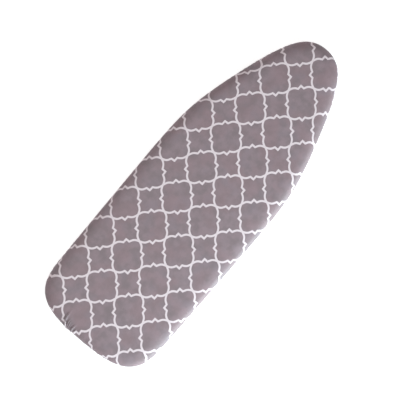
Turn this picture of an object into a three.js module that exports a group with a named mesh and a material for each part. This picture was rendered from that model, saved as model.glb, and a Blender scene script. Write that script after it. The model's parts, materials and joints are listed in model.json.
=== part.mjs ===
// Padded ironing board cover for a wide top, in the shape it takes when it is fitted.
// Millimetres. +X runs along the cover from the square tail to the tapered nose, +Y across it,
// +Z up out of the ironing face. The origin is under the middle of the cover, on the plane that
// the turned-under edge rests on.
//
// From the top down: printed cotton face cloth that wraps the edge and turns under as a skirt, a
// thin foam sheet, a felt pad, then an open hollow. The skirt's raw edge is bound with a folded
// tape that also holds the edge elastic. Three elastic straps cross the opening underneath. Each
// is sewn to the hem on the +Y side, and its hook tape closes on a loop tape sewn to the skirt on
// the -Y side.
import * as THREE from "three";

// ---------------------------------------------------------------- driving dimensions
const TOP_Z = 38; // height of the ironing face
const RIM_Z = 20.5; // height at which the edge stands out furthest
const ROLL = 16; // how far in from the outline the rolled edge reaches
const CROWN = 1.8; // fall of the face between its flat middle and the rolled edge
const CROWN_W = 0.55; // share of the skirt's reach at which the face becomes flat
const REST_W = 0.08; // share of the skirt's reach that rests flat on a table
const HEM_RISE = 15; // height of the skirt's edge above the table
const CLOTH_T = 0.8; // face cloth with its coating
const FOAM_T = 3; // foam sheet
const FELT_T = 5; // felt pad
const GAP = 0.3; // clearance between layers
const PAD_TURN = 60; // degrees that foam and felt follow the rolled edge down
const TAPE_T = 0.7; // binding tape
const TAPE_LEG = 12; // binding tape over the cloth, each side
const TAPE_FOLD = 8.5; // binding tape past the cloth's edge
const ELASTIC_W = 6; // edge elastic, flat braid
const ELASTIC_T = 0.9;
const STRAP_W = 25; // cross straps
const STRAP_T = 1.2; // strap webbing, hook tape and loop tape
const LOOP_A = [-46, -13.5]; // loop tape, from the cloth's edge out over the skirt
const HOOK_A = [-47.5, -12.4]; // hook tape on the strap's end, likewise
const SEWN_A = [-11.5, 7.4]; // sewn end of the strap, under the binding
const SEAM = 0.2; // clearance each side of a line that a strap bends at
const STATIONS = [
  { name: "tail", x: -400 },
  { name: "middle", x: -60 },
  { name: "nose", x: 270 },
];

// One side of the outline, from the middle of the tail to the tip of the nose, and for each of its
// points the point of the hem that it is drawn in to. The last number is the steps up to the next.
const SIDE = [
  // outline x, y, hem x, y, steps
  [-625, 0, -541, 0, 1],
  [-624.2, 35, -541, 26, 1],
  [-622.4, 72, -540, 52, 2],
  [-617.6, 112, -536.5, 77, 2],
  [-604.5, 156, -527.5, 99.5, 2],
  [-581, 189, -512, 117, 2],
  [-547, 210.5, -491, 128.5, 2],
  [-505, 218.6, -463, 135, 1],
  [-450, 221, -427, 137.3, 1],
  [-376, 222.7, -366, 138.3, 1],
  [-290, 223.9, -287, 139.2, 1],
  [-200, 224.9, -199, 140, 1],
  [-100, 225.7, -100, 140.5, 1],
  [0, 226.5, -2, 140.7, 1],
  [80, 225.9, 76, 140.2, 1],
  [145, 222.9, 138, 138, 1],
  [200, 216.9, 186, 132.8, 1],
  [250, 207, 230, 124.5, 1],
  [300, 194.4, 274, 114, 1],
  [350, 180.2, 317, 102.5, 1],
  [400, 164.7, 359, 90, 1],
  [450, 148.2, 400, 77, 1],
  [500, 129.4, 438.5, 63.5, 1],
  [545, 108.8, 470.5, 51, 1],
  [580, 88, 494, 40, 2],
  [603.5, 65.5, 509, 29.5, 2],
  [617.5, 41, 517.5, 18.5, 2],
  [623.6, 19.5, 521, 9, 1],
  [625, 0, 522, 0, 0],
];

// ---------------------------------------------------------------- the two closed curves
function closedCurve(ix, iy) {
  const up = SIDE.map((p) => new THREE.Vector3(p[ix], p[iy], 0));
  const down = SIDE.slice(1, -1)
    .reverse()
    .map((p) => new THREE.Vector3(p[ix], -p[iy], 0));
  return new THREE.CatmullRomCurve3([...up, ...down], true, "centripetal");
}
const outline = closedCurve(0, 1);
const hem = closedCurve(2, 3);

const steps = []; // curve parameters of the sections, tail to nose and back
const HALF = SIDE.length - 1;
for (let k = 0; k < HALF; k++) {
  for (let j = 0; j < SIDE[k][4]; j++) steps.push((k + j / SIDE[k][4]) / (2 * HALF));
}
const halfSteps = [...steps, 0.5];
steps.push(0.5, ...halfSteps.slice(1, -1).reverse().map((t) => 1 - t));

// For each section: outline point, inward normal, point at the roll's end, hem point
const edge = steps.map((t) => {
  const p = outline.getPoint(t);
  const a = outline.getPoint((t + 0.998) % 1);
  const b = outline.getPoint((t + 0.002) % 1);
  const n = new THREE.Vector3(b.y - a.y, a.x - b.x, 0).normalize();
  if (n.x * p.x + n.y * p.y > 0) n.negate();
  const roll = p.clone().addScaledVector(n, ROLL);
  const q = hem.getPoint(t);
  const d = q.clone().sub(roll);
  const reach = d.length();
  return { p, n, roll, q, d: d.normalize(), reach };
});

// ---------------------------------------------------------------- profiles, o in from the surface
const rad = THREE.MathUtils.degToRad;
const FACE_W = [CROWN_W, 0.36, 0.2, 0.08];
const PAD_W = [CROWN_W, 0.2];
const UPPER = [0, 22, 42, PAD_TURN, 76];
const LOWER = [0, 18, 36, 54, 72, 90];
const SKIRT_W = [REST_W, 0.3, 0.54, 0.78, 1];

const face = (o) => (w) => ({ w, z: TOP_Z - o - CROWN * (1 - w / CROWN_W) ** 2 });
const upperRoll = (o) => (deg) => ({
  r: ROLL - (ROLL - o) * Math.sin(rad(deg)),
  z: RIM_Z + (TOP_Z - CROWN - RIM_Z - o) * Math.cos(rad(deg)),
});
const lowerRoll = (o) => (deg) => ({
  r: ROLL - (ROLL - o) * Math.cos(rad(deg)),
  z: RIM_Z - (RIM_Z - o) * Math.sin(rad(deg)),
});
const rise = (w) => (w <= REST_W ? 0 : HEM_RISE * ((w - REST_W) / (1 - REST_W)) ** 1.1);
const under = (o) => (w) => ({ w, z: o + rise(w) });

const clothSide = (o) => [
  ...FACE_W.map(face(o)),
  ...UPPER.map(upperRoll(o)),
  ...LOWER.map(lowerRoll(o)),
  ...SKIRT_W.map(under(o)),
];
const padSide = (o) => [
  ...PAD_W.map(face(o)),
  ...UPPER.filter((deg) => deg <= PAD_TURN).map(upperRoll(o)),
];

// A ring of a loft: r is the distance in from the outline while it is under ROLL, w the share of
// the way from there to the hem.
const ring = ({ r = ROLL, w = 0, z }) =>
  edge.map((e) => {
    const v = e.p.clone().addScaledVector(e.n, r).addScaledVector(e.d, w * e.reach);
    v.z = z;
    return v;
  });

// The skirt's underside, a millimetres past the cloth's edge (out over the skirt when negative).
const LAST = SKIRT_W.length - 1;
function skirtPoint(e, a) {
  const w = 1 + a / e.reach;
  let k = 0;
  while (k < LAST - 1 && w > SKIRT_W[k + 1]) k++;
  const f = (w - SKIRT_W[k]) / (SKIRT_W[k + 1] - SKIRT_W[k]);
  const v = e.q.clone().addScaledVector(e.d, a);
  v.z = rise(SKIRT_W[k]) * (1 - f) + rise(SKIRT_W[k + 1]) * f;
  return v;
}
// A ring at the hem, b above the middle of the cloth
const atHem = ([a, b]) =>
  edge.map((e) => {
    const v = skirtPoint(e, a);
    v.z += CLOTH_T / 2 + b;
    return v;
  });
// The skirt's underside on the +Y side, at a given x
function skirtAt(x, a) {
  for (let i = 0; i < edge.length / 2; i++) {
    const u = skirtPoint(edge[i], a);
    const v = skirtPoint(edge[i + 1], a);
    if (u.x <= x && x <= v.x) return u.lerp(v, (x - u.x) / (v.x - u.x));
  }
  return null;
}
// Its height there at a given distance from the middle line
function skirtZ(x, y) {
  let [a0, a1] = [-50, 15];
  for (let i = 0; i < 40; i++) {
    const a = (a0 + a1) / 2;
    if (skirtAt(x, a).y > y) a0 = a;
    else a1 = a;
  }
  return skirtAt(x, a0).z;
}

// ---------------------------------------------------------------- closed bodies from rings
function closedBody(rings, wrap) {
  const n = rings[0].length;
  const points = rings.flat();
  const index = [];
  const bands = wrap ? rings.length : rings.length - 1;
  for (let j = 0; j < bands; j++) {
    const a = j * n;
    const b = ((j + 1) % rings.length) * n;
    for (let i = 0; i < n; i++) {
      const k = (i + 1) % n;
      index.push(a + i, a + k, b + k, a + i, b + k, b + i);
    }
  }
  if (!wrap) {
    // close both ends: a ring that stands upright is filled in Y-Z, a level one in X-Y
    const upright = Math.abs(rings[0][0].x - rings[0][1].x) < 1e-6;
    const flat = upright
      ? (v) => new THREE.Vector2(v.y, v.z)
      : (v) => new THREE.Vector2(v.x, v.y);
    for (const [j, first] of [
      [0, true],
      [rings.length - 1, false],
    ]) {
      const outlineOf = rings[j].map(flat);
      const turn = Math.sign(THREE.ShapeUtils.area(outlineOf));
      for (const [a, b, c] of THREE.ShapeUtils.triangulateShape(outlineOf, [])) {
        const tri = [outlineOf[a], outlineOf[b], outlineOf[c]];
        const same = Math.sign(THREE.ShapeUtils.area(tri)) === turn;
        const o = j * n;
        // a cap runs against the band's edge at the first ring, and with it at the last
        const asRing = same ? [o + a, o + b, o + c] : [o + a, o + c, o + b];
        if (first) index.push(asRing[0], asRing[2], asRing[1]);
        else index.push(...asRing);
      }
    }
  }
  let volume = 0;
  for (let k = 0; k < index.length; k += 3) {
    const [a, b, c] = [points[index[k]], points[index[k + 1]], points[index[k + 2]]];
    volume += a.dot(b.clone().cross(c));
  }
  if (volume < 0) {
    for (let k = 0; k < index.length; k += 3) {
      [index[k + 1], index[k + 2]] = [index[k + 2], index[k + 1]];
    }
  }
  const g = new THREE.BufferGeometry().setFromPoints(points);
  g.setIndex(index);
  g.computeVertexNormals();
  return g;
}
const shell = (side, outer, inner) =>
  closedBody([...side(outer), ...side(inner).reverse()].map(ring), false);

// A strip across the cover: at each of its two sides a list of (y, z) points of its upper face.
function strip(x, sideOf, thick = STRAP_T) {
  const rings = [x - STRAP_W / 2, x + STRAP_W / 2].map((sx) => {
    const top = sideOf(sx);
    const low = top.map(([y, z]) => [y, z - thick]).reverse();
    return [...top, ...low].map(([y, z]) => new THREE.Vector3(sx, y, z));
  });
  return closedBody(rings, false);
}

// ---------------------------------------------------------------- materials
const mat = (color, roughness) =>
  new THREE.MeshStandardMaterial({ color, roughness, metalness: 0 });
const printed = mat(0x8f8288, 0.75);
const foamed = mat(0xe9e3cf, 0.95);
const felted = mat(0xd9d6d0, 1);
const taped = mat(0x8b8087, 0.85);
const braided = mat(0xf1efec, 0.85);
const strapped = mat(0xe8e6e3, 0.85);
const hooked = mat(0xdedcd9, 0.7);
const looped = mat(0xe4e2df, 1);

const cover = new THREE.Group();
function add(name, geometry, material) {
  const mesh = new THREE.Mesh(geometry, material);
  mesh.name = name;
  cover.add(mesh);
}

// ---------------------------------------------------------------- the cover and its layers
const foamO = CLOTH_T + GAP;
const feltO = foamO + FOAM_T + GAP;
add("face_cloth", shell(clothSide, 0, CLOTH_T), printed);
add("foam_sheet", shell(padSide, foamO, foamO + FOAM_T), foamed);
add("felt_pad", shell(padSide, feltO, feltO + FELT_T), felted);

// Binding: a tape folded over the cloth's edge. Its fold holds the elastic.
const inB = CLOTH_T / 2 + GAP;
const outB = inB + TAPE_T;
const binding = [
  [-TAPE_LEG, outB],
  [TAPE_FOLD - 0.9, outB],
  [TAPE_FOLD, outB - 0.7],
  [TAPE_FOLD, -outB + 0.7],
  [TAPE_FOLD - 0.9, -outB],
  [-TAPE_LEG, -outB],
  [-TAPE_LEG, -inB],
  [TAPE_FOLD - TAPE_T, -inB],
  [TAPE_FOLD - TAPE_T, inB],
  [-TAPE_LEG, inB],
];
add("hem_binding", closedBody(binding.map(atHem), true), taped);

const e1 = TAPE_FOLD - TAPE_T - GAP;
const e0 = e1 - ELASTIC_W;
const h = ELASTIC_T / 2;
const elastic = [
  [e0, h],
  [e1, h],
  [e1, -h],
  [e0, -h],
];
add("hem_elastic", closedBody(elastic.map(atHem), true), braided);

// ---------------------------------------------------------------- the cross straps
// Depths below the skirt's underside
const UNDER_TAPE = outB - CLOTH_T / 2 + GAP; // upper face of what lies under the binding
const LOOP_TOP = GAP;
const HOOK_TOP = LOOP_TOP + STRAP_T + GAP;

const range = ([a0, a1], n) => Array.from({ length: n + 1 }, (_, i) => a0 + ((a1 - a0) * i) / n);
export const hinges = {};
for (const { name, x } of STATIONS) {
  const sides = [x - STRAP_W / 2, x + STRAP_W / 2];
  const lowest = (y, depth) => Math.min(...sides.map((sx) => skirtZ(sx, Math.abs(y)))) - depth;
  const yAt = (a) => skirtAt(x, a).y;

  // the strap's sewn end, on the +Y side; its inner end is square, where the strap bends
  const swingY = yAt(SEWN_A[1]) - SEAM;
  const crossZ = lowest(swingY, UNDER_TAPE);
  add(
    `${name}_strap_sewn_end`,
    strip(x, (sx) => [
      ...range(SEWN_A, 2)
        .slice(0, -1)
        .map((a) => [skirtAt(sx, a).y, skirtAt(sx, a).z - UNDER_TAPE]),
      [swingY + SEAM, crossZ],
    ]),
    strapped,
  );

  // the strap, from there across to the seam with its hook tape
  const peelY = -(yAt(HOOK_A[1]) - SEAM);
  const peelTop = lowest(peelY, HOOK_TOP);
  const turnY = -swingY + TAPE_FOLD - SEWN_A[1] + 1;
  add(
    `${name}_strap`,
    strip(x, () => [
      [swingY - SEAM, crossZ],
      [turnY, crossZ],
      [peelY + SEAM, peelTop],
    ]),
    strapped,
  );

  // the hook tape, and the loop tape that it closes on
  const hookZ = (sx, a) => skirtAt(sx, a).z - HOOK_TOP;
  add(
    `${name}_hook_tape`,
    strip(x, (sx) => [
      [peelY - SEAM, peelTop],
      ...range(HOOK_A, 2)
        .reverse()
        .slice(1)
        .map((a) => [-skirtAt(sx, a).y, hookZ(sx, a)]),
    ]),
    hooked,
  );
  add(
    `${name}_loop_tape`,
    strip(x, (sx) => range(LOOP_A, 2).map((a) => [-skirtAt(sx, a).y, skirtAt(sx, a).z - LOOP_TOP])),
    looped,
  );
  hinges[name] = {
    swing: [x, swingY, crossZ - STRAP_T],
    peel: [x, peelY, peelTop - STRAP_T],
  };
}

export default cover;
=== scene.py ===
import json
import math

import bpy
import numpy as np
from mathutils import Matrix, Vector
from mathutils.geometry import delaunay_2d_cdt


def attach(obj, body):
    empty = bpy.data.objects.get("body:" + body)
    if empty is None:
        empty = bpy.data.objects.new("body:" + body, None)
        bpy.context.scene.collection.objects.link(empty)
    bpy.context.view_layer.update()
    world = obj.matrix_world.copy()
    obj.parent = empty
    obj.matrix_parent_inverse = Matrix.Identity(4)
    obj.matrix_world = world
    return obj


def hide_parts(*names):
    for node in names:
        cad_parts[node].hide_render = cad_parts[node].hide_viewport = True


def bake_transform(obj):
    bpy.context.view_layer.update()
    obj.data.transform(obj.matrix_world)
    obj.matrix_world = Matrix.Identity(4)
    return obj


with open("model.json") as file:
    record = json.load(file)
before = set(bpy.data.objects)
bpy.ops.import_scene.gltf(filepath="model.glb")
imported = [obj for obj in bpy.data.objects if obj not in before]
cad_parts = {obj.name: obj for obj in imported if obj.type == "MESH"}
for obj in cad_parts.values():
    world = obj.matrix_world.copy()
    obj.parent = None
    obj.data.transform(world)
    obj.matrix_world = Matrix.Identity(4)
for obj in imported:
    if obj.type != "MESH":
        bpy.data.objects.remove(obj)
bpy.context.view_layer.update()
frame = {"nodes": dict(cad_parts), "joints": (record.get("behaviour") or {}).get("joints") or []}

# ------------------------------------------------------------------ numbers shared with the solids
# millimetres here, metres when a mesh is made
TOP_Z, RIM_Z, ROLL, CROWN, CROWN_W, REST_W, HEM_RISE = 38.0, 20.5, 16.0, 1.8, 0.55, 0.08, 15.0
CLOTH_T, FOAM_T, FELT_T, GAP, PAD_TURN = 0.8, 3.0, 5.0, 0.3, 60.0
TAPE_T, TAPE_LEG, TAPE_FOLD = 0.7, 12.0, 8.5
ELASTIC_W, ELASTIC_T = 6.0, 0.9
STRAP_W, STRAP_T = 25.0, 1.2
LOOP_A, HOOK_A, SEWN_A, SEAM = (-46.0, -13.5), (-47.5, -12.4), (-11.5, 7.4), 0.2
STATIONS = {"tail": -400.0, "middle": -60.0, "nose": 270.0}
SIDE = [
    (-625, 0, -541, 0), (-624.2, 35, -541, 26), (-622.4, 72, -540, 52), (-617.6, 112, -536.5, 77),
    (-604.5, 156, -527.5, 99.5), (-581, 189, -512, 117), (-547, 210.5, -491, 128.5),
    (-505, 218.6, -463, 135), (-450, 221, -427, 137.3), (-376, 222.7, -366, 138.3),
    (-290, 223.9, -287, 139.2), (-200, 224.9, -199, 140), (-100, 225.7, -100, 140.5),
    (0, 226.5, -2, 140.7), (80, 225.9, 76, 140.2), (145, 222.9, 138, 138),
    (200, 216.9, 186, 132.8), (250, 207, 230, 124.5), (300, 194.4, 274, 114),
    (350, 180.2, 317, 102.5), (400, 164.7, 359, 90), (450, 148.2, 400, 77),
    (500, 129.4, 438.5, 63.5), (545, 108.8, 470.5, 51), (580, 88, 494, 40),
    (603.5, 65.5, 509, 29.5), (617.5, 41, 517.5, 18.5), (623.6, 19.5, 521, 9),
    (625, 0, 522, 0),
]
JOINT = {j["name"]: j for j in frame["joints"]}

# ------------------------------------------------------------------ curves


def catmull(points, t):
    """A closed centripetal Catmull-Rom curve through the points, at t from 0 to 1."""
    n = len(points)
    p = (t % 1.0) * n
    i = np.floor(p).astype(int)
    w = (p - i)[:, None]
    a, b, c, d = (points[(i + k) % n] for k in (-1, 0, 1, 2))
    u0, u1, u2 = (
        np.maximum(((y - x) ** 2).sum(1), 1e-12)[:, None] ** 0.25 for x, y in ((a, b), (b, c), (c, d))
    )
    m1 = ((b - a) / u0 - (c - a) / (u0 + u1) + (c - b) / u1) * u1
    m2 = ((c - b) / u1 - (d - b) / (u1 + u2) + (d - c) / u2) * u1
    return b + m1 * w + (-3 * b + 3 * c - 2 * m1 - m2) * w**2 + (2 * b - 2 * c + m1 + m2) * w**3


def loop_smooth(values, step, sigma):
    """A closed list of values, blurred along its length."""
    k = np.fft.rfftfreq(len(values), d=step) * 2 * np.pi
    g = np.exp(-0.5 * (k * sigma) ** 2)
    f = np.fft.rfft(values, axis=0)
    return np.fft.irfft(f * (g[:, None] if values.ndim == 2 else g), n=len(values), axis=0)


def unit(v):
    return v / np.maximum(np.linalg.norm(v, axis=-1, keepdims=True), 1e-12)


def along(points):
    """Distance along a closed line of points, from its first."""
    return np.concatenate([[0], np.cumsum(np.linalg.norm(np.roll(points, -1, 0) - points, axis=1))])


def closed_interp(x, xp, fp, period):
    """np.interp for a closed curve: xp from 0 to period, fp without its repeated last row."""
    f = np.concatenate([fp, fp[:1]])
    if f.ndim == 1:
        return np.interp(x % period, xp, f)
    return np.stack([np.interp(x % period, xp, f[:, k]) for k in range(f.shape[1])], axis=1)


UPPER_ARC = 24.9  # length of the rolled edge's upper and lower quarter
LOWER_ARC = 28.8


def sections(count):
    """count sections round the cover: outline point, inward normal, hem point."""
    up = np.array(SIDE, float)
    full = np.concatenate([up, up[1:-1][::-1] * [1, -1, 1, -1]])
    t = np.arange(12000) / 12000
    p, q = catmull(full[:, :2], t), catmull(full[:, 2:], t)
    # to even steps along the outline, where the line can be blurred a little
    s = along(p)
    even = np.arange(12000) / 12000 * s[-1]
    p, q = closed_interp(even, s, p, s[-1]), closed_interp(even, s, q, s[-1])
    step = s[-1] / 12000
    p, q = loop_smooth(p, step, 3.0), loop_smooth(q, step, 3.0)
    tangent = unit(loop_smooth(np.roll(p, -1, 0) - np.roll(p, 1, 0), step, 5.0))
    n = np.stack([tangent[:, 1], -tangent[:, 0]], axis=1)  # inward: the line runs clockwise
    reach = np.linalg.norm(q - p - ROLL * n, axis=1)
    cut = p - n * (UPPER_ARC + LOWER_ARC + 1.02 * reach - ROLL)[:, None]
    # spread the hem's gathers along it: the elastic shares them out
    flat_s, hem_s = along(cut), along(q)
    share = np.diff(hem_s) / np.diff(flat_s)
    at = np.arange(12000) / 12000 * flat_s[-1]
    blurred = loop_smooth(
        closed_interp(at, flat_s, share, flat_s[-1]), flat_s[-1] / 12000, 42.0
    )
    new = np.concatenate([[0], np.cumsum(closed_interp(flat_s[:-1], np.append(at, flat_s[-1]), blurred, flat_s[-1]) * np.diff(flat_s))])
    new *= hem_s[-1] / new[-1]
    q = closed_interp(new[:-1], hem_s, q, hem_s[-1])
    # take the sections at even steps of a mean of the outline and the cut edge
    mean = 0.45 * along(p) + 0.55 * along(cut)
    crease = np.exp(-((np.hypot(p[:, 0] + 623.0, p[:, 1] - 56.0) / 42.0) ** 4))
    mean += np.concatenate([[0], np.cumsum(1.1 * crease)]) * along(p)[-1] / len(p)
    want = np.arange(count) / count * mean[-1]
    pick = lambda f: closed_interp(want, mean, f, mean[-1])
    return pick(p), unit(pick(n)), pick(q)


def rise(w):
    return HEM_RISE * np.clip((w - REST_W) / (1 - REST_W), 0, None) ** 1.1


def crown(w):
    return CROWN * np.clip(1 - w / CROWN_W, 0, 1) ** 2


class Profile:
    """The cover's surface: rings of points from the face, over the rolled edge, to the hem."""

    def __init__(self, count):
        self.p, self.n, self.q = sections(count)
        self.roll = self.p + ROLL * self.n
        self.d = unit(self.q - self.roll)
        self.reach = np.linalg.norm(self.q - self.roll, axis=1)

    def ring(self, kind, x, o=0.0):
        """Points and flat-cut points of one ring, o in from the surface."""
        w_at = lambda w: self.roll + self.d * (w * self.reach)[:, None]
        one = np.ones(len(self.p))
        if kind == "face":
            xy, z = w_at(x), (TOP_Z - o - crown(x)) * one
            flat = xy
        elif kind == "upper":
            r = ROLL - (ROLL - o) * math.sin(math.radians(x))
            xy = self.p + self.n * r
            z = (RIM_Z + (TOP_Z - CROWN - RIM_Z - o) * math.cos(math.radians(x))) * one
            flat = self.p + self.n * (ROLL - UPPER_ARC * x / 90)
        elif kind == "lower":
            r = ROLL - (ROLL - o) * math.cos(math.radians(x))
            xy = self.p + self.n * r
            z = (RIM_Z - (RIM_Z - o) * math.sin(math.radians(x))) * one
            flat = self.p + self.n * (ROLL - UPPER_ARC - LOWER_ARC * x / 90)
        elif kind == "skirt":
            xy, z = w_at(x), (o + rise(x)) * one
            flat = self.p + self.n * (ROLL - UPPER_ARC - LOWER_ARC - 1.02 * x * self.reach)[:, None]
        else:  # past the cloth's edge, inside the binding's fold
            slope = (rise(1.0) - rise(0.8)) / (0.2 * self.reach)
            xy = self.q + self.d * x
            z = o + rise(1.0) + slope * x
            flat = self.p + self.n * (
                ROLL - UPPER_ARC - LOWER_ARC - 1.02 * self.reach - x
            )[:, None]
        return np.column_stack([xy, z]), flat


# ------------------------------------------------------------------ the cloth, simulated
COUNT = 960
RINGS = (
    [("face", w) for w in (0.55, 0.46, 0.37, 0.29, 0.22, 0.16, 0.1, 0.05)]
    + [("upper", a) for a in (0, 15, 30, 45, 60, 75, 90)]
    + [("lower", a) for a in (13, 26, 39, 52, 65, 78, 90)]
    + [("skirt", w) for w in np.arange(1, 21) / 20]
    + [("past", a) for a in (2.8, 5.7, 8.5)]
)
KINDS = np.array([k for k, _ in RINGS])
HEM = int(np.flatnonzero(KINDS == "skirt")[-1])


def normals_of(x):
    """Outward normals of a grid of rings."""
    dk = np.gradient(x, axis=0)
    di = np.roll(x, -1, 1) - np.roll(x, 1, 1)
    return unit(np.cross(di, dk))


def simulate(prof):
    """The turned-under skirt as cloth cut flat: it keeps the lengths it was cut to, so it buckles
    into gathers where the hem is drawn in. Position-based, on the grid of rings."""
    made = [prof.ring(k, v) for k, v in RINGS]
    rest = np.array([m[0] for m in made])
    flat = np.array([m[1] for m in made])
    if normals_of(rest)[0, 0, 2] < 0:
        raise RuntimeError("the grid is inside out")
    nrm = normals_of(rest)
    rows, n = rest.shape[:2]

    # cut lengths; the upper roll is eased, as cloth on the bias is
    ease = np.interp(
        [
            {"face": 0, "upper": v / 90, "lower": 1 + v / 90, "skirt": 2.2, "past": 2.2}[k]
            for k, v in RINGS
        ],
        [0.3, 1.0, 1.5, 2.0],
        [0.0, 0.45, 0.9, 1.0],
    )
    seg = lambda a, b: np.linalg.norm(a - b, axis=-1)
    nxt = lambda a: np.roll(a, -1, 1)
    hoop_now, hoop_cut = seg(nxt(rest), rest), seg(nxt(flat), flat)
    hoop_cut = np.maximum(hoop_cut, hoop_now * 0.98)
    hoop = hoop_now + ease[:, None] * (hoop_cut - hoop_now)
    spare = hoop / hoop_now - 1  # share of cloth more than the surface is long
    down = seg(rest[1:], rest[:-1])
    diag = np.sqrt(down**2 + ((hoop[1:] + hoop[:-1]) / 2) ** 2)

    # where tapes are sewn on, the cloth lies flat
    sewn = np.zeros((rows, n))
    for x in STATIONS.values():
        across = np.clip((24.0 - np.abs(rest[:, :, 0] - x)) / 9.0, 0, 1)
        sewn = np.maximum(sewn, across)
    low = np.array([1.0 if k in ("skirt", "past") else 0.0 for k, _ in RINGS])
    deep = np.interp(np.arange(rows), [HEM - 16, HEM - 13], [0, 1])
    sewn *= (low * deep)[:, None]
    sewn = sewn * sewn * (3 - 2 * sewn)
    pin = np.array([1.0 if k == "face" and v > 0.04 else 0.0 for k, v in RINGS])

    # first folds: fine at the hem, joining into fewer towards the rim
    rng = np.random.default_rng(7)
    s_hem = along(rest[HEM])
    s = s_hem[:-1]

    def phase(wavelength, wander):
        noise = loop_smooth(rng.standard_normal(n), s_hem[-1] / n, 55.0)
        noise *= wander / max(noise.std(), 1e-9)
        turns = round(s_hem[-1] / wavelength)
        return 2 * np.pi * (turns * s / s_hem[-1]) + noise

    fine, mid, wide = phase(12.5, 2.6), phase(25.0, 2.0), phase(52.0, 1.4)
    level = np.interp(
        np.arange(rows),
        [np.flatnonzero(KINDS == "upper")[4], np.flatnonzero(KINDS == "lower")[-1], HEM, rows - 1],
        [0, 0.35, 1.0, 1.05],
    )[:, None]
    height = np.sqrt(np.clip(spare, 0, 2.2))
    wave = (
        1.9 * np.clip(level * 1.6 - 0.6, 0, 1) * np.sin(fine)
        + 3.2 * np.clip(1 - np.abs(level - 0.55) / 0.45, 0, 1) * np.sin(mid)
        + 4.2 * np.clip(1 - np.abs(level - 0.25) / 0.3, 0, 1) * np.sin(wide)
    )
    x = rest + nrm * (wave * height * (1 - sewn) * np.clip(level * 3, 0, 1))[:, :, None] * 1.5
    x += nrm * (rng.standard_normal((rows, n)) * 0.02)[:, :, None]

    floor = 0.35
    inner = np.interp(
        np.arange(rows),
        [np.flatnonzero(KINDS == "upper")[0], np.flatnonzero(KINDS == "lower")[-1], HEM],
        [0.0, -0.6, -6.0],
    )[:, None]
    outer = np.interp(
        np.arange(rows),
        [np.flatnonzero(KINDS == "upper")[0], np.flatnonzero(KINDS == "upper")[-1], np.flatnonzero(KINDS == "lower")[-1], HEM],
        [0.3, 1.6, 4.0, 9.0],
    )[:, None]
    hold = np.interp(np.arange(rows), [HEM - 3, HEM, rows - 1], [0.0, 0.22, 0.3])[:, None, None]
    old = x.copy()

    def keep(ia, ja, ib, jb, length, stiff):
        """Move two sets of points to their distance; the sets don't share a point."""
        a, b = x[ia, ja], x[ib, jb]
        d = b - a
        l = np.linalg.norm(d, axis=-1, keepdims=True)
        c = d * ((l - length[..., None]) / np.maximum(l, 1e-9)) * (0.5 * stiff)
        x[ia, ja] = a + c
        x[ib, jb] = b - c

    forward = unit(nxt(rest) - rest)
    least = 0.2 * hoop_now

    def unfold(j):
        """Folds don't lean over their neighbours: each point stays past the one before it."""
        k = (j + 1) % n
        short = least[:, j] - ((x[:, k] - x[:, j]) * forward[:, j]).sum(-1)
        c = forward[:, j] * (0.5 * np.maximum(short, 0))[..., None]
        x[:, j] -= c
        x[:, k] += c

    even, odd = np.arange(0, n, 2), np.arange(1, n, 2)
    all_i = np.arange(n)
    rounds = 420
    two = np.linalg.norm(np.roll(flat, -2, 1) - flat, axis=-1)
    two = np.minimum(two, hoop + np.roll(hoop, -1, 1))
    for it in range(rounds):
        moved = x + 0.9 * (x - old)
        old = x.copy()
        x[:] = moved
        for j in (even, odd):
            k = (j + 1) % n
            keep(slice(None), j, slice(None), k, hoop[:, j], 0.9)
        for r0 in (0, 1):
            r = np.arange(r0, rows - 1, 2)[:, None]
            keep(r, all_i[None], r + 1, all_i[None], down[r[:, 0]], 0.9)
            keep(r, all_i[None], r + 1, (all_i[None] + 1) % n, diag[r[:, 0]], 0.25)
            keep(r, (all_i[None] + 1) % n, r + 1, all_i[None], diag[r[:, 0]], 0.25)
        # stiffness against sharp bends: points two apart don't come too near
        for j0 in (0, 1):
            for j in (np.arange(j0, n, 4), np.arange(j0 + 2, n, 4)):
                k = (j + 2) % n
                a, b = x[:, j], x[:, k]
                d = b - a
                l = np.linalg.norm(d, axis=-1, keepdims=True)
                short = np.minimum(l - 0.72 * two[:, j][..., None], 0)
                c = d * (short / np.maximum(l, 1e-9)) * 0.3
                x[:, j] = a + c
                x[:, k] = b - c
        for j in (even, odd):
            unfold(j)
        # the pad and the edge of the top are behind the cloth, and nothing reaches the table
        out = ((x - rest) * nrm).sum(-1)
        x += nrm * (np.clip(out, inner, outer) - out)[..., None]
        x[..., 2] = np.maximum(x[..., 2], floor)
        # the elastic holds the hem's line but lets it ripple
        pull = (rest - x) * hold
        pull[..., 2] *= 0.12
        x += pull
        x += (rest - x) * sewn[..., None]
        x += (rest - x) * pin[:, None, None]
    for _ in range(2):
        mean = (np.roll(x, 1, 1) + np.roll(x, -1, 1)) / 2
        body = x[1:-1] * 0.5 + (x[2:] + x[:-2]) * 0.25
        x[1:-1] = 0.7 * x[1:-1] + 0.15 * body + 0.15 * mean[1:-1]
    for _ in range(24):
        for j in (even, odd):
            unfold(j)
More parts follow.
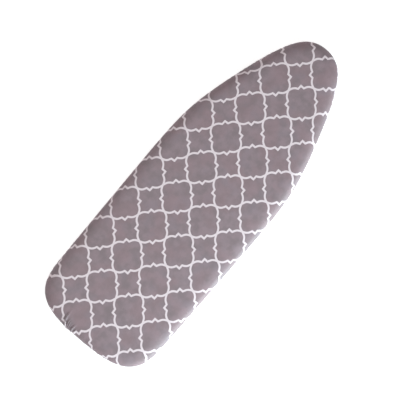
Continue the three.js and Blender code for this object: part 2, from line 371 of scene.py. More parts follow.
    # where a fold still turns over, it is eased until it doesn't
    ref = nrm[:-1] + nrm[1:]
    for _ in range(60):
        quad = np.cross(nxt(x[:-1]) - x[1:], nxt(x[1:]) - x[:-1])
        over = (quad * ref).sum(-1) < 0.2 * np.linalg.norm(quad, axis=-1)
        if not over.any():
            break
        spot = np.zeros((rows, n), bool)
        for k in (0, 1):
            for j in (0, 1):
                spot[k : rows - 1 + k] |= np.roll(over, j, 1)
        spot |= np.roll(spot, 1, 1) | np.roll(spot, -1, 1)
        off = x - rest
        mean = (np.roll(off, 1, 1) + np.roll(off, -1, 1)) / 2
        mean[1:-1] = 0.6 * mean[1:-1] + 0.2 * (off[2:] + off[:-2])
        x += (mean - off) * (0.5 * spot)[..., None]
    x += (rest - x) * np.maximum(sewn, pin[:, None])[..., None]
    print("skirt: hem ring", round(float(along(x[HEM])[-1])), "cut", round(float(hoop[HEM].sum())), "mm")
    return x, flat, rest


# ------------------------------------------------------------------ making meshes
def mesh_object(name, verts_mm, faces, smooth=True):
    me = bpy.data.meshes.new(name)
    me.from_pydata([tuple(v) for v in np.asarray(verts_mm, float) * 0.001], [], faces)
    me.update()
    if smooth:
        me.polygons.foreach_set("use_smooth", [True] * len(me.polygons))
    ob = bpy.data.objects.new(name, me)
    bpy.context.scene.collection.objects.link(ob)
    return ob


def point_attribute(ob, name, values, kind="FLOAT"):
    a = ob.data.attributes.new(name, kind, "POINT")
    key = "value" if kind == "FLOAT" else "vector"
    a.data.foreach_set(key, np.asarray(values, np.float32).ravel())


def uv_from_points(ob, name, values):
    layer = ob.data.uv_layers.new(name=name)
    loops = np.zeros(len(ob.data.loops), np.int32)
    ob.data.loops.foreach_get("vertex_index", loops)
    layer.data.foreach_set("uv", np.asarray(values, np.float32)[loops].ravel())


def grid_faces(rows, n, start=0, flip=False, wrap=True):
    faces = []
    for k in range(rows - 1):
        a, b = start + k * n, start + (k + 1) * n
        for i in range(n if wrap else n - 1):
            j = (i + 1) % n
            f = (a + i, b + i, b + j, a + j)
            faces.append(f[::-1] if flip else f)
    return faces


PROF = Profile(COUNT)
X, FLAT, NOMINAL = simulate(PROF)
print("profile", X.shape, X.min((0, 1)), X.max((0, 1)))


def soft_noise(xy, scale, seed):
    """Smooth noise from a few dozen waves, the same each run."""
    rng = np.random.default_rng(seed)
    k = rng.standard_normal((40, 2)) / scale
    ph = rng.random(40) * 2 * np.pi
    return np.sin(xy @ k.T + ph).sum(1) / math.sqrt(20)


def cap(ring_xy, spacing):
    """Triangles that fill a ring, with points of a grid inside it. Returns the inner points and
    faces that count the ring's points first."""
    lo, hi = ring_xy.min(0), ring_xy.max(0)
    gx = np.arange(lo[0] + spacing / 2, hi[0], spacing)
    gy = np.arange(lo[1] + spacing / 2, hi[1], spacing * 0.87)
    pts = np.array([(x + (spacing / 2 if r % 2 else 0), y) for r, y in enumerate(gy) for x in gx])
    # keep those inside, and not near the ring
    inside = np.zeros(len(pts), bool)
    near = np.full(len(pts), 1e9)
    a, b = ring_xy, np.roll(ring_xy, -1, 0)
    for p, q in zip(a, b):
        cross = (p[1] > pts[:, 1]) != (q[1] > pts[:, 1])
        with np.errstate(divide="ignore", invalid="ignore"):
            xi = (q[0] - p[0]) * (pts[:, 1] - p[1]) / (q[1] - p[1]) + p[0]
        inside ^= cross & (pts[:, 0] < xi)
        near = np.minimum(near, np.hypot(pts[:, 0] - p[0], pts[:, 1] - p[1]))
    pts = pts[inside & (near > spacing * 0.5)]
    allp = np.concatenate([ring_xy, pts])
    n = len(ring_xy)
    out = delaunay_2d_cdt([Vector(p) for p in allp], [(i, (i + 1) % n) for i in range(n)], [], 1, 1e-6)
    verts, faces, orig = out[0], out[2], out[3]
    if len(verts) != len(allp):
        raise RuntimeError("the face's points don't fill cleanly")
    remap = [o[0] for o in orig]
    tris = []
    for f in faces:
        t = [remap[v] for v in f]
        p, q, r = allp[t[0]], allp[t[1]], allp[t[2]]
        if (q[0] - p[0]) * (r[1] - p[1]) - (q[1] - p[1]) * (r[0] - p[0]) < 0:
            t = t[::-1]
        tris.append(tuple(t))
    return pts, tris


def soften_rim():
    """The padded edge rounds over a wider stretch than the solids' rolled edge: a flat ellipse from
    the rim to the face."""
    wide = ROLL + CROWN_W * PROF.reach
    for k, v in RINGS:
        if k not in ("face", "upper"):
            continue
        i = RINGS.index((k, v))
        r = ROLL + v * PROF.reach if k == "face" else ROLL * (1 - math.sin(math.radians(v)))
        s = np.clip((wide - r) / wide, 0, 1)
        X[i, :, 2] += RIM_Z + (TOP_Z - RIM_Z) * np.sqrt(1 - s**2.6) - NOMINAL[i, :, 2]


soften_rim()


# Faint swell of the padding under the face, which every layer follows
def swell(xy):
    return 0.30 * soft_noise(xy, 60.0, 3) + 0.12 * soft_noise(xy, 24.0, 4)


FADE = np.array([1.0 if k == "face" else max(0.0, 1 - v / 60) if k == "upper" else 0.0 for k, v in RINGS])
for k in range(len(RINGS)):
    if FADE[k]:
        X[k, :, 2] += swell(X[k, :, :2]) * FADE[k]


def tail_creases():
    """A few short pinched creases that run in over the tail's edge, where the hem pulls hardest."""
    s = along(PROF.p)
    here = int(np.argmin(np.hypot(PROF.p[:, 0] + 623.0, PROF.p[:, 1] - 56.0)))
    ds = s[:-1] - s[here]
    ds = (ds + s[-1] / 2) % s[-1] - s[-1] / 2
    depth = []  # distance in from the outline along the surface
    for k, v in RINGS:
        if k == "face":
            depth.append(ROLL + 9 + v * float(PROF.reach[here]))
        elif k == "upper":
            depth.append(UPPER_ARC * (1 - v / 90))
        else:
            depth.append(-30.0 * v / 90 if k == "lower" else -60.0)
    nrm = normals_of(X)
    folds = [  # place along the edge, how far in, slant, height, width
        (17.5, 44.0, 0.52, 0.9, 3.0), (12.0, 58.0, 0.64, -2.4, 2.7), (6.3, 68.0, 0.68, 4.2, 2.4),
        (1.4, 48.0, 0.40, 2.7, 1.9), (-2.5, 46.0, 0.30, 1.9, 1.7), (-6.0, 38.0, 0.18, 0.9, 1.6),
        (-9.0, 38.0, 0.08, -1.2, 1.8), (-13.0, 46.0, 0.04, 2.7, 3.2), (-20.0, 34.0, 0.06, -1.2, 2.2),
        (-26.0, 36.0, 0.08, 1.2, 3.0),
    ]
    for k in range(len(RINGS)):
        t = depth[k]
        if t < -24:
            continue
        move = np.zeros(X.shape[1])
        for at, long, slant, high, wide in folds:
            e = np.clip((t + 22) / 22, 0, 1) * np.clip((long - t) / (0.6 * long), 0, 1)
            move += high * e * e * (3 - 2 * e) * np.exp(-(((ds - at - slant * t) / wide) ** 2))
        X[k] += nrm[k] * move[:, None]


tail_creases()
NRM = normals_of(X)
CAP_PTS, CAP_TRIS = cap(X[0][:, :2], 11.0)
CAP_IN = np.min([np.hypot(CAP_PTS[:, 0] - q[0], CAP_PTS[:, 1] - q[1]) for q in X[0][::3, :2]], axis=0)
CAP_Z = TOP_Z + swell(CAP_PTS) + 0.9 * (1 - np.exp(-((CAP_IN / 42.0) ** 2)))


def closed_layers(name, outer_rows, inner_rows, outer_drop, inner_drop, edge_rows=()):
    """A closed sheet: outer rings from the face outwards, edge rings, inner rings back, both filled
    in the middle. The drops are how far below the cloth's face each side lies there."""
    n = outer_rows.shape[1]
    rows = [*outer_rows, *edge_rows, *inner_rows[::-1]]
    verts = [np.concatenate(rows)]
    faces = grid_faces(len(rows), n, flip=True)
    base = len(rows) * n
    for drop, flip, first in ((outer_drop, False, 0), (inner_drop, True, (len(rows) - 1) * n)):
        verts.append(np.column_stack([CAP_PTS, CAP_Z - drop]))
        idx = lambda v: first + v if v < n else base + v - n
        faces += [tuple(idx(v) for v in (t[::-1] if flip else t)) for t in CAP_TRIS]
        base += len(CAP_PTS)
    return mesh_object(name, np.concatenate(verts), faces)


# how the cloth is pulled near its edge, in mm: place along, then towards the nose and across, for
# the +Y side and for the -Y side
PULL = np.array([
    (-600, 0.5, -6.5, 2.5, -5.0), (-550, 1.0, -4.0, 2.0, -1.5), (-490, 2.5, -0.5, 3.5, 2.0), (-335, 7.5, -5.5, 5.5, 3.0),
    (-165, 10.0, -6.0, 6.0, 3.5), (5, 10.5, -1.5, 6.0, 3.5), (170, 9.5, -1.0, 4.5, 2.0),
    (325, 0.5, -4.0, -1.0, 2.5), (480, -2.5, -2.5, -2.0, 4.5), (600, 1.0, 0.5, 0.5, 0.0),
])


def pulled(flat, inward):
    """Where each point of the cloth was before it was pulled over the edge: flat in metres, and its
    distance in from the outline in mm."""
    share = np.clip(1 - inward / 70.0, 0, 1)
    side = np.clip(flat[:, 1] / 0.16 + 0.5, 0, 1)
    at = [np.interp(flat[:, 0] * 1000, PULL[:, 0], PULL[:, k]) for k in range(1, 5)]
    long = (at[0] * side + at[2] * (1 - side)) * share
    across = (at[1] * side + at[3] * (1 - side)) * share * (1 + 0.5 * np.clip(1 - inward / ROLL, 0, 1))
    return flat - np.column_stack([long, across]) * 0.001


def make_face_cloth():
    rows = HEM + 1
    outer, inner = X[:rows], X[:rows] - NRM[:rows] * CLOTH_T
    ob = closed_layers("printed_face_cloth", outer, inner, 0.0, CLOTH_T)
    n = COUNT
    flat = np.concatenate(
        [FLAT[:rows].reshape(-1, 2), FLAT[:rows][::-1].reshape(-1, 2), CAP_PTS, CAP_PTS]
    ) * 0.001
    uv_from_points(ob, "flat", flat)
    # the cloth lies a little tighter over the pad than it was printed
    level = {"face": lambda v: ROLL + v * PROF.reach, "upper": lambda v: ROLL * (1 - math.sin(math.radians(v))) + 0 * PROF.reach}
    ring_in = np.array([level.get(k, lambda v: 0 * PROF.reach)(v) for k, v in RINGS[:rows]])
    cap_in = CAP_IN + float(ring_in[0].mean())
    inward = np.concatenate([ring_in.ravel(), ring_in[::-1].ravel(), cap_in, cap_in])
    cut = pulled(flat, inward)
    x, y = cut[:, 0] * 0.997 + 0.0002, cut[:, 1] * 0.997 - 0.0006
    # the print's two counts of cells; the cloth is pulled a little unevenly over the pad
    terms = np.stack([np.ones_like(x), x, y, x * x, x * y, y * y, x**3, x * x * y, x * y * y, y**3])
    u = np.array([2.5147, 8.0402, -8.7847, 0.1513, -0.0416, 1.6218, 0.0232, 0.2113, 1.0113, 3.556]) @ terms
    v = np.array([0.522, -7.8881, -8.1882, -0.1004, -0.1674, -1.931, 0.0494, 0.3684, -2.2185, -0.7711]) @ terms
    uv_from_points(ob, "print", np.column_stack([u, v]))
    strips, tris = (2 * rows - 1) * n, len(CAP_TRIS)
    inside = np.zeros(strips + 2 * tris, np.int32)
    inside[rows * n : strips] = 1
    inside[strips + tris :] = 1
    ob.data.polygons.foreach_set("material_index", inside)
    return ob


def make_pad(name, o, thick, round_by, rough, seed):
    """Foam or felt: it lies under the cloth as far as 60 degrees down the rolled edge."""
    last = max(i for i, (k, v) in enumerate(RINGS) if k == "upper" and v <= PAD_TURN)
    down = unit(X[last] - X[last - 1])
    rim = X[last] + down * 0.5
    place = lambda t, out: rim + down * out - NRM[last] * (o + t * thick)
    edge = [
        place(t, round_by * math.sqrt(max(0.0, 1 - (2 * t - 1) ** 2)) - round_by * 0.2)
        for t in (0.03, 0.12, 0.3, 0.5, 0.7, 0.88, 0.97)
    ]
    outer = X[: last + 1] - NRM[: last + 1] * o
    inner = X[: last + 1] - NRM[: last + 1] * (o + thick)
    wob = np.array([rough * soft_noise(r[:, :2], 17.0, seed) for r in inner])
    inner[..., 2] += wob
    ob = closed_layers(name, outer, inner, o, o + thick, edge)
    co = np.zeros(len(ob.data.vertices) * 3)
    ob.data.vertices.foreach_get("co", co)
    co = co.reshape(-1, 3)
    lowest = co[-len(CAP_PTS) :]
    lowest[:, 2] += rough * 0.001 * soft_noise(lowest[:, :2] * 1000, 17.0, seed)
    ob.data.vertices.foreach_set("co", co.ravel())
    return ob


# ------------------------------------------------------------------ along the hem
FIRST = int(np.flatnonzero(KINDS == "skirt")[0])


def ring_resample(values, n):
    """A closed ring of points with n points, by its waves."""
    f = np.fft.rfft(values, axis=0)
    return np.fft.irfft(f, n=n, axis=0) * (n / len(values))


class Hem:
    """Points at a distance from the cloth's edge, t inwards past it, off below its middle."""

    def __init__(self, n):
        self.n = n
        self.mid = X[FIRST:] - NRM[FIRST:] * (CLOTH_T / 2)
        self.nrm = NRM[FIRST:]
        step = np.linalg.norm(np.diff(self.mid, axis=0), axis=2)
        self.cum = np.concatenate([np.zeros((1, self.mid.shape[1])), np.cumsum(step, axis=0)])
        self.cum -= self.cum[HEM - FIRST]

    def at(self, t, off):
        cum, i = self.cum, np.arange(self.cum.shape[1])
        k = np.clip((cum <= t).sum(0) - 1, 0, len(cum) - 2)
        f = ((t - cum[k, i]) / (cum[k + 1, i] - cum[k, i]))[:, None]
        p = self.mid[k, i] * (1 - f) + self.mid[k + 1, i] * f
        g = np.clip(f, 0, 1)
        nrm = unit(loop_smooth(self.nrm[k, i] * (1 - g) + self.nrm[k + 1, i] * g, 1.0, 0.9))
        return ring_resample(p + nrm * off, self.n)


def make_loop(name, hem, section):
    """A closed band that follows the hem, from a closed list of (t, off)."""
    rings = [hem.at(t, off) for t, off in section]
    m, n = len(rings), hem.n
    faces = []
    for k in range(m):
        a, b = k * n, ((k + 1) % m) * n
        faces += [(a + i, b + i, b + (i + 1) % n, a + (i + 1) % n) for i in range(n)]
    verts = np.concatenate(rings)
    ob = mesh_object(name, verts, outward(verts, faces))
    s = along(hem.at(0, 0))[:-1]
    arc = np.concatenate([[0], np.cumsum([math.dist(section[k], section[k + 1]) for k in range(m - 1)])])
    uv = np.array([[x, a] for a in arc for x in s]) * 0.001
    uv_from_points(ob, "flat", uv)
    return ob


# ------------------------------------------------------------------ thread
def thread(paths, radius=0.17, pitch=3.2, gap=0.55, sides=5):
    """Stitches along lines of points: for each line (points, up directions). Returns verts, faces."""
    verts, faces = [], []
    ring = [(math.cos(2 * math.pi * j / sides), math.sin(2 * math.pi * j / sides)) for j in range(sides)]
    for pts, ups in paths:
        seg = np.linalg.norm(np.diff(pts, axis=0), axis=1)
        s = np.concatenate([[0], np.cumsum(seg)])
        total = s[-1]
        count = max(1, round(total / pitch))
        step = total / count
        at = lambda d, v: np.array([np.interp(d, s, v[:, k]) for k in range(3)])
        for c in range(count):
            a, b = c * step + gap / 2, (c + 1) * step - gap / 2
            d = np.array([a, a + 0.12 * (b - a), (a + b) / 2, b - 0.12 * (b - a), b])
            sink = (0.30, 0.06, 0.0, 0.06, 0.30)
            size = (0.45, 1.0, 1.0, 1.0, 0.45)
            p = np.array([at(x, pts) for x in d])
            up = unit(np.array([at(x, ups) for x in d]))
            along_it = unit(np.gradient(p, axis=0))
            side = unit(np.cross(along_it, up))
            o = len(verts)
            for q in range(5):
                centre = p[q] + up[q] * (radius * 0.75 - sink[q])
                for cx, cy in ring:
                    verts.append(centre + (side[q] * cx + up[q] * cy) * radius * size[q])
            for q in range(4):
                for j in range(sides):
                    k = (j + 1) % sides
                    faces.append((o + q * sides + j, o + (q + 1) * sides + j, o + (q + 1) * sides + k, o + q * sides + k))
            faces.append(tuple(o + j for j in range(sides)))
            faces.append(tuple(o + 4 * sides + j for j in reversed(range(sides))))
    return verts, faces


def outward(verts, faces):
    """Faces of a closed mesh, turned to face out."""
    v = np.asarray(verts, float)
    v = v - v.mean(0)
    total = 0.0
    for size in {len(f) for f in faces}:
        g = np.array([f for f in faces if len(f) == size])
        for j in range(1, size - 1):
            total += float((v[g[:, 0]] * np.cross(v[g[:, j]], v[g[:, j + 1]])).sum())
    return faces if total > 0 else [f[::-1] for f in faces]


class Parts:
    """Collects the bodies of one piece, each with its material index and its flat coordinates."""

    def __init__(self):
        self.v, self.f, self.m, self.uv = [], [], [], []

    def add(self, verts, faces, index=0, uv=None):
        o = len(self.v)
        faces = outward(verts, faces)
        self.v += [tuple(p) for p in verts]
        self.f += [tuple(o + i for i in f) for f in faces]
        self.m += [index] * len(faces)
        self.uv += list(uv) if uv is not None else [(p[0] * 0.001, p[1] * 0.001) for p in verts]

    def make(self, name):
        ob = mesh_object(name, self.v, self.f)
        ob.data.polygons.foreach_set("material_index", np.array(self.m, np.int32))
        uv_from_points(ob, "flat", np.array(self.uv))
        return ob


def slab(xs, ys, top, bottom):
    """A closed slab on a grid: top and bottom are height fields over (x, y) arrays."""
    gx, gy = xs, ys
    r, c = gx.shape
    t = np.stack([gx, gy, top], -1).reshape(-1, 3)
    b = np.stack([gx, gy, bottom], -1).reshape(-1, 3)
    faces = []
    o = r * c
    for i in range(r - 1):
        for j in range(c - 1):
            a = i * c + j
            faces.append((a, a + 1, a + c + 1, a + c))
            faces.append((o + a, o + a + c, o + a + c + 1, o + a + 1))
    rim = [*range(c - 1), *[i * c + c - 1 for i in range(r - 1)], *[(r - 1) * c + j for j in range(c - 1, 0, -1)], *[i * c for i in range(r - 1, 0, -1)]]
    for k, a in enumerate(rim):
        b2 = rim[(k + 1) % len(rim)]
        faces.append((b2, a, o + a, o + b2))
    return np.concatenate([t, b]), faces


# ------------------------------------------------------------------ the cross straps
def side_points(node):
    """Lowest and highest y of a CAD strip at its low-x and high-x sides, in mm."""
    co = np.array([v.co for v in frame["nodes"][node].data.vertices]) * 1000
    mid = (co[:, 0].min() + co[:, 0].max()) / 2
    lo, hi = co[co[:, 0] < mid], co[co[:, 0] > mid]
    return (lo[:, 1].min(), lo[:, 1].max()), (hi[:, 1].min(), hi[:, 1].max())


class Under:
    """Height of the skirt's underside near a strap, fitted to the cloth as it lies."""

    def __init__(self, x0, sign):
        pts = X[FIRST + 2 :].reshape(-1, 3)
        near = pts[(np.abs(pts[:, 0] - x0) < 15) & (pts[:, 1] * sign > 90)]
        self.x0, self.y0 = x0, near[:, 1].mean()
        self.c, *_ = np.linalg.lstsq(self.terms(near[:, 0], near[:, 1]), near[:, 2], rcond=None)
        err = self(near[:, 0], near[:, 1]) - near[:, 2]
        print("under", x0, sign, "fit", round(float(np.abs(err).max()), 3), "mm")

    def terms(self, x, y):
        u, v = (np.asarray(x) - self.x0) / 15, (np.asarray(y) - self.y0) / 40
        one = np.ones_like(u * v)
        return np.stack([one, u * one, v * one, u * v, u * u * one, v * v * one, v**3 * one, u * v * v, v**4 * one], -1)

    def __call__(self, x, y):
        return self.terms(x, y) @ self.c


def smooth_line(ys, y_pts, z_pts, width=2.6):
    """A line of straight stretches, eased at its bends."""
    out = np.zeros_like(ys)
    offs = np.linspace(-1, 1, 9) * width
    wts = (1 - (offs / width) ** 2 * 0.9)
    order = np.argsort(y_pts)
    yp, zp = np.array(y_pts)[order], np.array(z_pts)[order]
    for o, w in zip(offs, wts):
        y = ys + o
        z = np.interp(y, yp, zp)
        lo, hi = y < yp[0], y > yp[-1]
        z = np.where(lo, zp[0] + (y - yp[0]) * (zp[1] - zp[0]) / (yp[1] - yp[0]), z)
        z = np.where(hi, zp[-1] + (y - yp[-1]) * (zp[-1] - zp[-2]) / (yp[-1] - yp[-2]), z)
        out += w * z
    return out / wts.sum()


def make_strap(name):
    x0 = STATIONS[name]
    swing = np.array(JOINT[f"{name}_strap_swing"]["pos_m"]) * 1000
    peel = np.array(JOINT[f"{name}_tab_peel"]["pos_m"]) * 1000
    right, left = Under(x0, 1), Under(x0, -1)
    cross_top, peel_top = swing[2] + STRAP_T, peel[2] + STRAP_T
    (a0, a1), (b0, b1) = side_points(f"{name}_strap_sewn_end")
    turn_y = -swing[1] + 2.1

    # --- webbing: lengthwise cords, a little narrower where it is stretched
    part = Parts()
    near = lambda c, w, n: np.linspace(c - w, c + w, n)
    ys = np.unique(np.concatenate([
        np.linspace(peel[1] + 0.35, peel[1] + 8, 9), np.linspace(peel[1] + 8, swing[1] - 6, 150),
        near(swing[1], 6, 25), np.linspace(swing[1] + 6, max(a1, b1), 10),
    ]).round(4))
    cols = 61
    u = np.linspace(-1, 1, cols)
    u = np.sign(u) * (1 - (1 - np.abs(u)) ** 1.04)
    cords = 12
    half = 12.5 - 0.55 * np.clip((swing[1] - ys) / 60, 0, 1) * np.clip((ys - peel[1]) / 40, 0, 1)
    gx = x0 + half[:, None] * u[None, :]
    end = a1 + (b1 - a1) * (gx - (x0 - 12.5)) / 25  # the sewn end is cut along the hem
    stretch = np.clip((ys[:, None] - swing[1]) / (max(a1, b1) - swing[1]), 0, 1)
    gy = np.where(ys[:, None] > swing[1], swing[1] + (end - swing[1]) * stretch, ys[:, None] + 0 * gx)
    flat_z = smooth_line(
        ys, [swing[1] + 30, swing[1] + 0.2, swing[1] - 0.2, turn_y, peel[1], peel[1] - 30],
        [cross_top, cross_top, cross_top, cross_top, peel_top, peel_top - 30 * (cross_top - peel_top) / (turn_y - peel[1])],
    )
    sewn_z = right(gx, gy) - 1.28
    w = np.clip((gy - swing[1] + 3) / 6, 0, 1)
    w = w * w * (3 - 2 * w)
    mid_z = flat_z[:, None] * (1 - w) + sewn_z * w - STRAP_T / 2
    cord = 0.5 + 0.5 * np.cos(u * cords * np.pi)  # 1 on a cord, 0 between two
    edge = np.sqrt(np.clip(1 - ((np.abs(u) - 0.965) / 0.035).clip(0, 1) ** 2, 0, 1))
    thick = (0.40 + 0.19 * np.sqrt(cord)) * np.maximum(edge, 0.25)
    wave = 0.03 * np.sin(ys * 2 * np.pi / 1.9)[:, None] * np.sign(np.sin(u * cords * np.pi / 2 + 0.01))[None, :]
    v, f = slab(gx, gy, mid_z + thick + wave, mid_z - thick + wave)
    uv = np.column_stack([np.tile((u * 12.5)[None, :], (len(ys), 1)).ravel(), np.tile(ys[:, None], (1, cols)).ravel()]) * 0.001
    part.add(v, f, 0, np.concatenate([uv, uv]))

    # box stitches on the sewn end, seen from below, and across the seam with the hook tape
    lines = []
    y0, y1 = swing[1] + 2.2, min(a1, b1) - 1.6
    low = lambda x, y: np.column_stack([x, y, np.interp(y, ys, mid_z[:, cols // 2]) * 0 + (right(x, y) - 1.28 - STRAP_T / 2 - 0.56)])
    down = lambda n: np.tile([0.0, 0.0, -1.0], (n, 1))
    box = [(-10.3, y0), (10.3, y0), (10.3, y1), (-10.3, y1), (-10.3, y0)]
    cross = [(-10.3, y0), (10.3, y1)], [(10.3, y0), (-10.3, y1)]
    for (xa, ya), (xb, yb) in [*zip(box, box[1:]), *cross]:
        k = np.linspace(0, 1, 12)
        lines.append((low(x0 + xa + (xb - xa) * k, ya + (yb - ya) * k), down(12)))
    v, f = thread(lines, 0.18, 2.7)
    part.add(v, f, 1)
    webbing = part.make(f"{name}_strap_webbing")

    # --- hook tape: woven backing with rows of small hooks; its root is sewn under the webbing
    (h0, h1), (k0, k1) = side_points(f"{name}_hook_tape")
    part = Parts()
    root = 8.5
    s = np.concatenate([np.linspace(-root, -3, 6), np.linspace(-3, 3, 13)[1:], np.linspace(3, 1, 1) * 0 + 3.6, np.linspace(5, 27, 12), np.linspace(28, 36, 17)])
    s = np.unique(s.round(4))
    length = peel[1] - (h0 + k0) / 2  # from the seam to the free end
    s = s * np.where(s > 0, length / 36.0, 1.0)
    r = 5.0
    over = np.clip((s - (length - r)) / r, 0, 1)
    half = 12.4 - r * (1 - np.sqrt(np.clip(1 - over**2, 0, 1))) * 0.98
    cols = 27
    u = np.linspace(-1, 1, cols)
    gx = x0 + half[:, None] * u[None, :]
    slope = (k0 - h0) / 25
    gy = peel[1] - s[:, None] + (gx - x0) * slope * np.clip(s / length, 0, 1)[:, None]
    place = np.clip((s - 1.0) / 6.0, 0, 1)[:, None]
    place = place * place * (3 - 2 * place)
    strap_low = smooth_line(
        peel[1] - s, [turn_y, peel[1], peel[1] - 30],
        [cross_top, peel_top, peel_top - 30 * (cross_top - peel_top) / (turn_y - peel[1])],
    )[:, None] - STRAP_T - 0.05
    back_top = strap_low * (1 - place) + (left(gx, gy) - 2.46) * place
    back_low = back_top - 0.5
    rib = 0.03 * np.cos(u * 24 * np.pi)[None, :]
    v, f = slab(gx, gy, back_top + rib, back_low - rib)
    uv = np.column_stack([np.tile((u * 12.5)[None, :], (len(s), 1)).ravel(), np.tile(s[:, None], (1, cols)).ravel()]) * 0.001
    part.add(v, f, 0, np.concatenate([uv, uv]))
    zb = lambda x, y: left(x, y) - 2.46
    hooks_v, hooks_f = [], []
    stem = [(0.0, 0.0), (0.0, 0.38), (0.05, 0.56), (0.22, 0.66), (0.38, 0.58), (0.42, 0.46)]
    row = 0
    sy = 5.2
    while sy < length - 5.5:
        for c in range(-8, 9):
            x = x0 + c * 1.3 + (0.35 if row % 2 else -0.35)
            y = peel[1] - sy
            way = 1 if row % 2 else -1
            z = float(zb(x, y))
            o = len(hooks_v)
            for q, (a, hgt) in enumerate(stem):
                wdt = 0.13 if q < 5 else 0.08
                nx, nz = ((1, 0) if q < 2 else (0.75, -0.6) if q == 2 else (0.1, -1) if q == 3 else (-0.8, -0.6))
                for e1, e2 in ((-1, -1), (1, -1), (1, 1), (-1, 1)):
                    hooks_v.append((x + e2 * 0.12, y + way * (a + e1 * wdt * nx), z + hgt - e1 * wdt * nz * 0.8))
            for q in range(len(stem) - 1):
                for j in range(4):
                    k = (j + 1) % 4
                    hooks_f.append((o + q * 4 + j, o + (q + 1) * 4 + j, o + (q + 1) * 4 + k, o + q * 4 + k))
            hooks_f.append((o, o + 1, o + 2, o + 3))
            e = o + (len(stem) - 1) * 4
            hooks_f.append((e + 3, e + 2, e + 1, e))
        row += 1
        sy += 1.55
    part.add(hooks_v, hooks_f, 2)
    lines = []
    seam = [(-10.6, -1.6), (10.6, -1.6), (10.6, -root + 1.4), (-10.6, -root + 1.4), (-10.6, -1.6)]
    for (xa, ya), (xb, yb) in zip(seam, seam[1:]):
        k = np.linspace(0, 1, 9)
        sx, ss = x0 + xa + (xb - xa) * k, ya + (yb - ya) * k
        z = smooth_line(
            peel[1] - ss, [turn_y, peel[1], peel[1] - 30],
            [cross_top, peel_top, peel_top - 30 * (cross_top - peel_top) / (turn_y - peel[1])],
        )
        lines.append((np.column_stack([sx, peel[1] - ss, z - STRAP_T - 0.58]), down(9)))
    v, f = thread(lines, 0.18, 2.7)
    part.add(v, f, 1)
    hook = part.make(f"{name}_hook_fastener")

    # --- loop tape: backing sewn to the skirt, with a pile of small loops
    (h0, h1), (k0, k1) = side_points(f"{name}_loop_tape")
    part = Parts()
    cols, rows = 27, 34
    u, t = np.linspace(-1, 1, cols), np.linspace(0, 1, rows)
    gx = x0 + 12.4 * u[None, :] + 0 * t[:, None]
    y_at = lambda x, k: (h0 + (h1 - h0) * k) * (1 - (x - x0 + 12.5) / 25) + (k0 + (k1 - k0) * k) * ((x - x0 + 12.5) / 25)
    gy = y_at(gx, t[:, None])
    z = left(gx, gy)
    bead = np.clip((np.abs(u) - 0.9) / 0.1, 0, 1)[None, :] * 0.06
    v, f = slab(gx, gy, z - 0.12, z - 0.52 - bead)
    uv = np.column_stack([gx.ravel() - x0, gy.ravel()]) * 0.001
    part.add(v, f, 0, np.concatenate([uv, uv]))
    rng = np.random.default_rng(int(abs(x0)) + 11)
    pile_v, pile_f = [], []
    for k in range(900):
        x = x0 + rng.uniform(-10.9, 10.9)
        y = float(y_at(x, rng.uniform(0.05, 0.95)))
        turn = rng.uniform(0, 2 * math.pi)
        wide, tall, lean = rng.uniform(0.35, 0.8), rng.uniform(0.6, 1.05), rng.uniform(-0.5, 0.5)
        cx, sx_ = math.cos(turn), math.sin(turn)
        z = float(left(x, y)) - 0.5
        o = len(pile_v)
        for q in range(6):
            ang = math.pi * q / 5
            a, hgt = -math.cos(ang) * wide, math.sin(ang) * tall
            off = lean * hgt * 0.6
            px, py, pz = x + cx * a - sx_ * off, y + sx_ * a + cx * off, z - hgt + 0.03
            dx, dz = math.sin(ang), math.cos(ang)
            for e in range(3):
                g = 2 * math.pi * e / 3
                ra, rb = 0.065 * math.cos(g), 0.065 * math.sin(g)
                pile_v.append((px + (-sx_) * ra + cx * rb * -dz, py + cx * ra + sx_ * rb * -dz, pz - rb * dx))
        for q in range(5):
            for e in range(3):
                g = (e + 1) % 3
                pile_f.append((o + q * 3 + e, o + (q + 1) * 3 + e, o + (q + 1) * 3 + g, o + q * 3 + g))
        pile_f.append((o, o + 1, o + 2))
        pile_f.append((o + 17, o + 16, o + 15))
    part.add(pile_v, pile_f, 0)
    lines = []
    for (xa, ta), (xb, tb) in (((-11.6, 0.03), (11.6, 0.03)), ((11.6, 0.03), (11.6, 0.97)), ((11.6, 0.97), (-11.6, 0.97)), ((-11.6, 0.97), (-11.6, 0.03))):
        k = np.linspace(0, 1, 12)
        sx = x0 + xa + (xb - xa) * k
        sy_ = y_at(sx, ta + (tb - ta) * k)
        lines.append((np.column_stack([sx, sy_, left(sx, sy_) - 0.58]), down(12)))
    v, f = thread(lines, 0.16, 2.7)
    part.add(v, f, 1)
    loop = part.make(f"{name}_loop_fastener")
    return webbing, hook, loop, swing, peel


# ------------------------------------------------------------------ materials
def lin(*rgb):
    f = lambda c: c / 12.92 if c <= 0.04045 else ((c + 0.055) / 1.055) ** 2.4
    return tuple(f(c / 255) for c in rgb) + (1.0,)


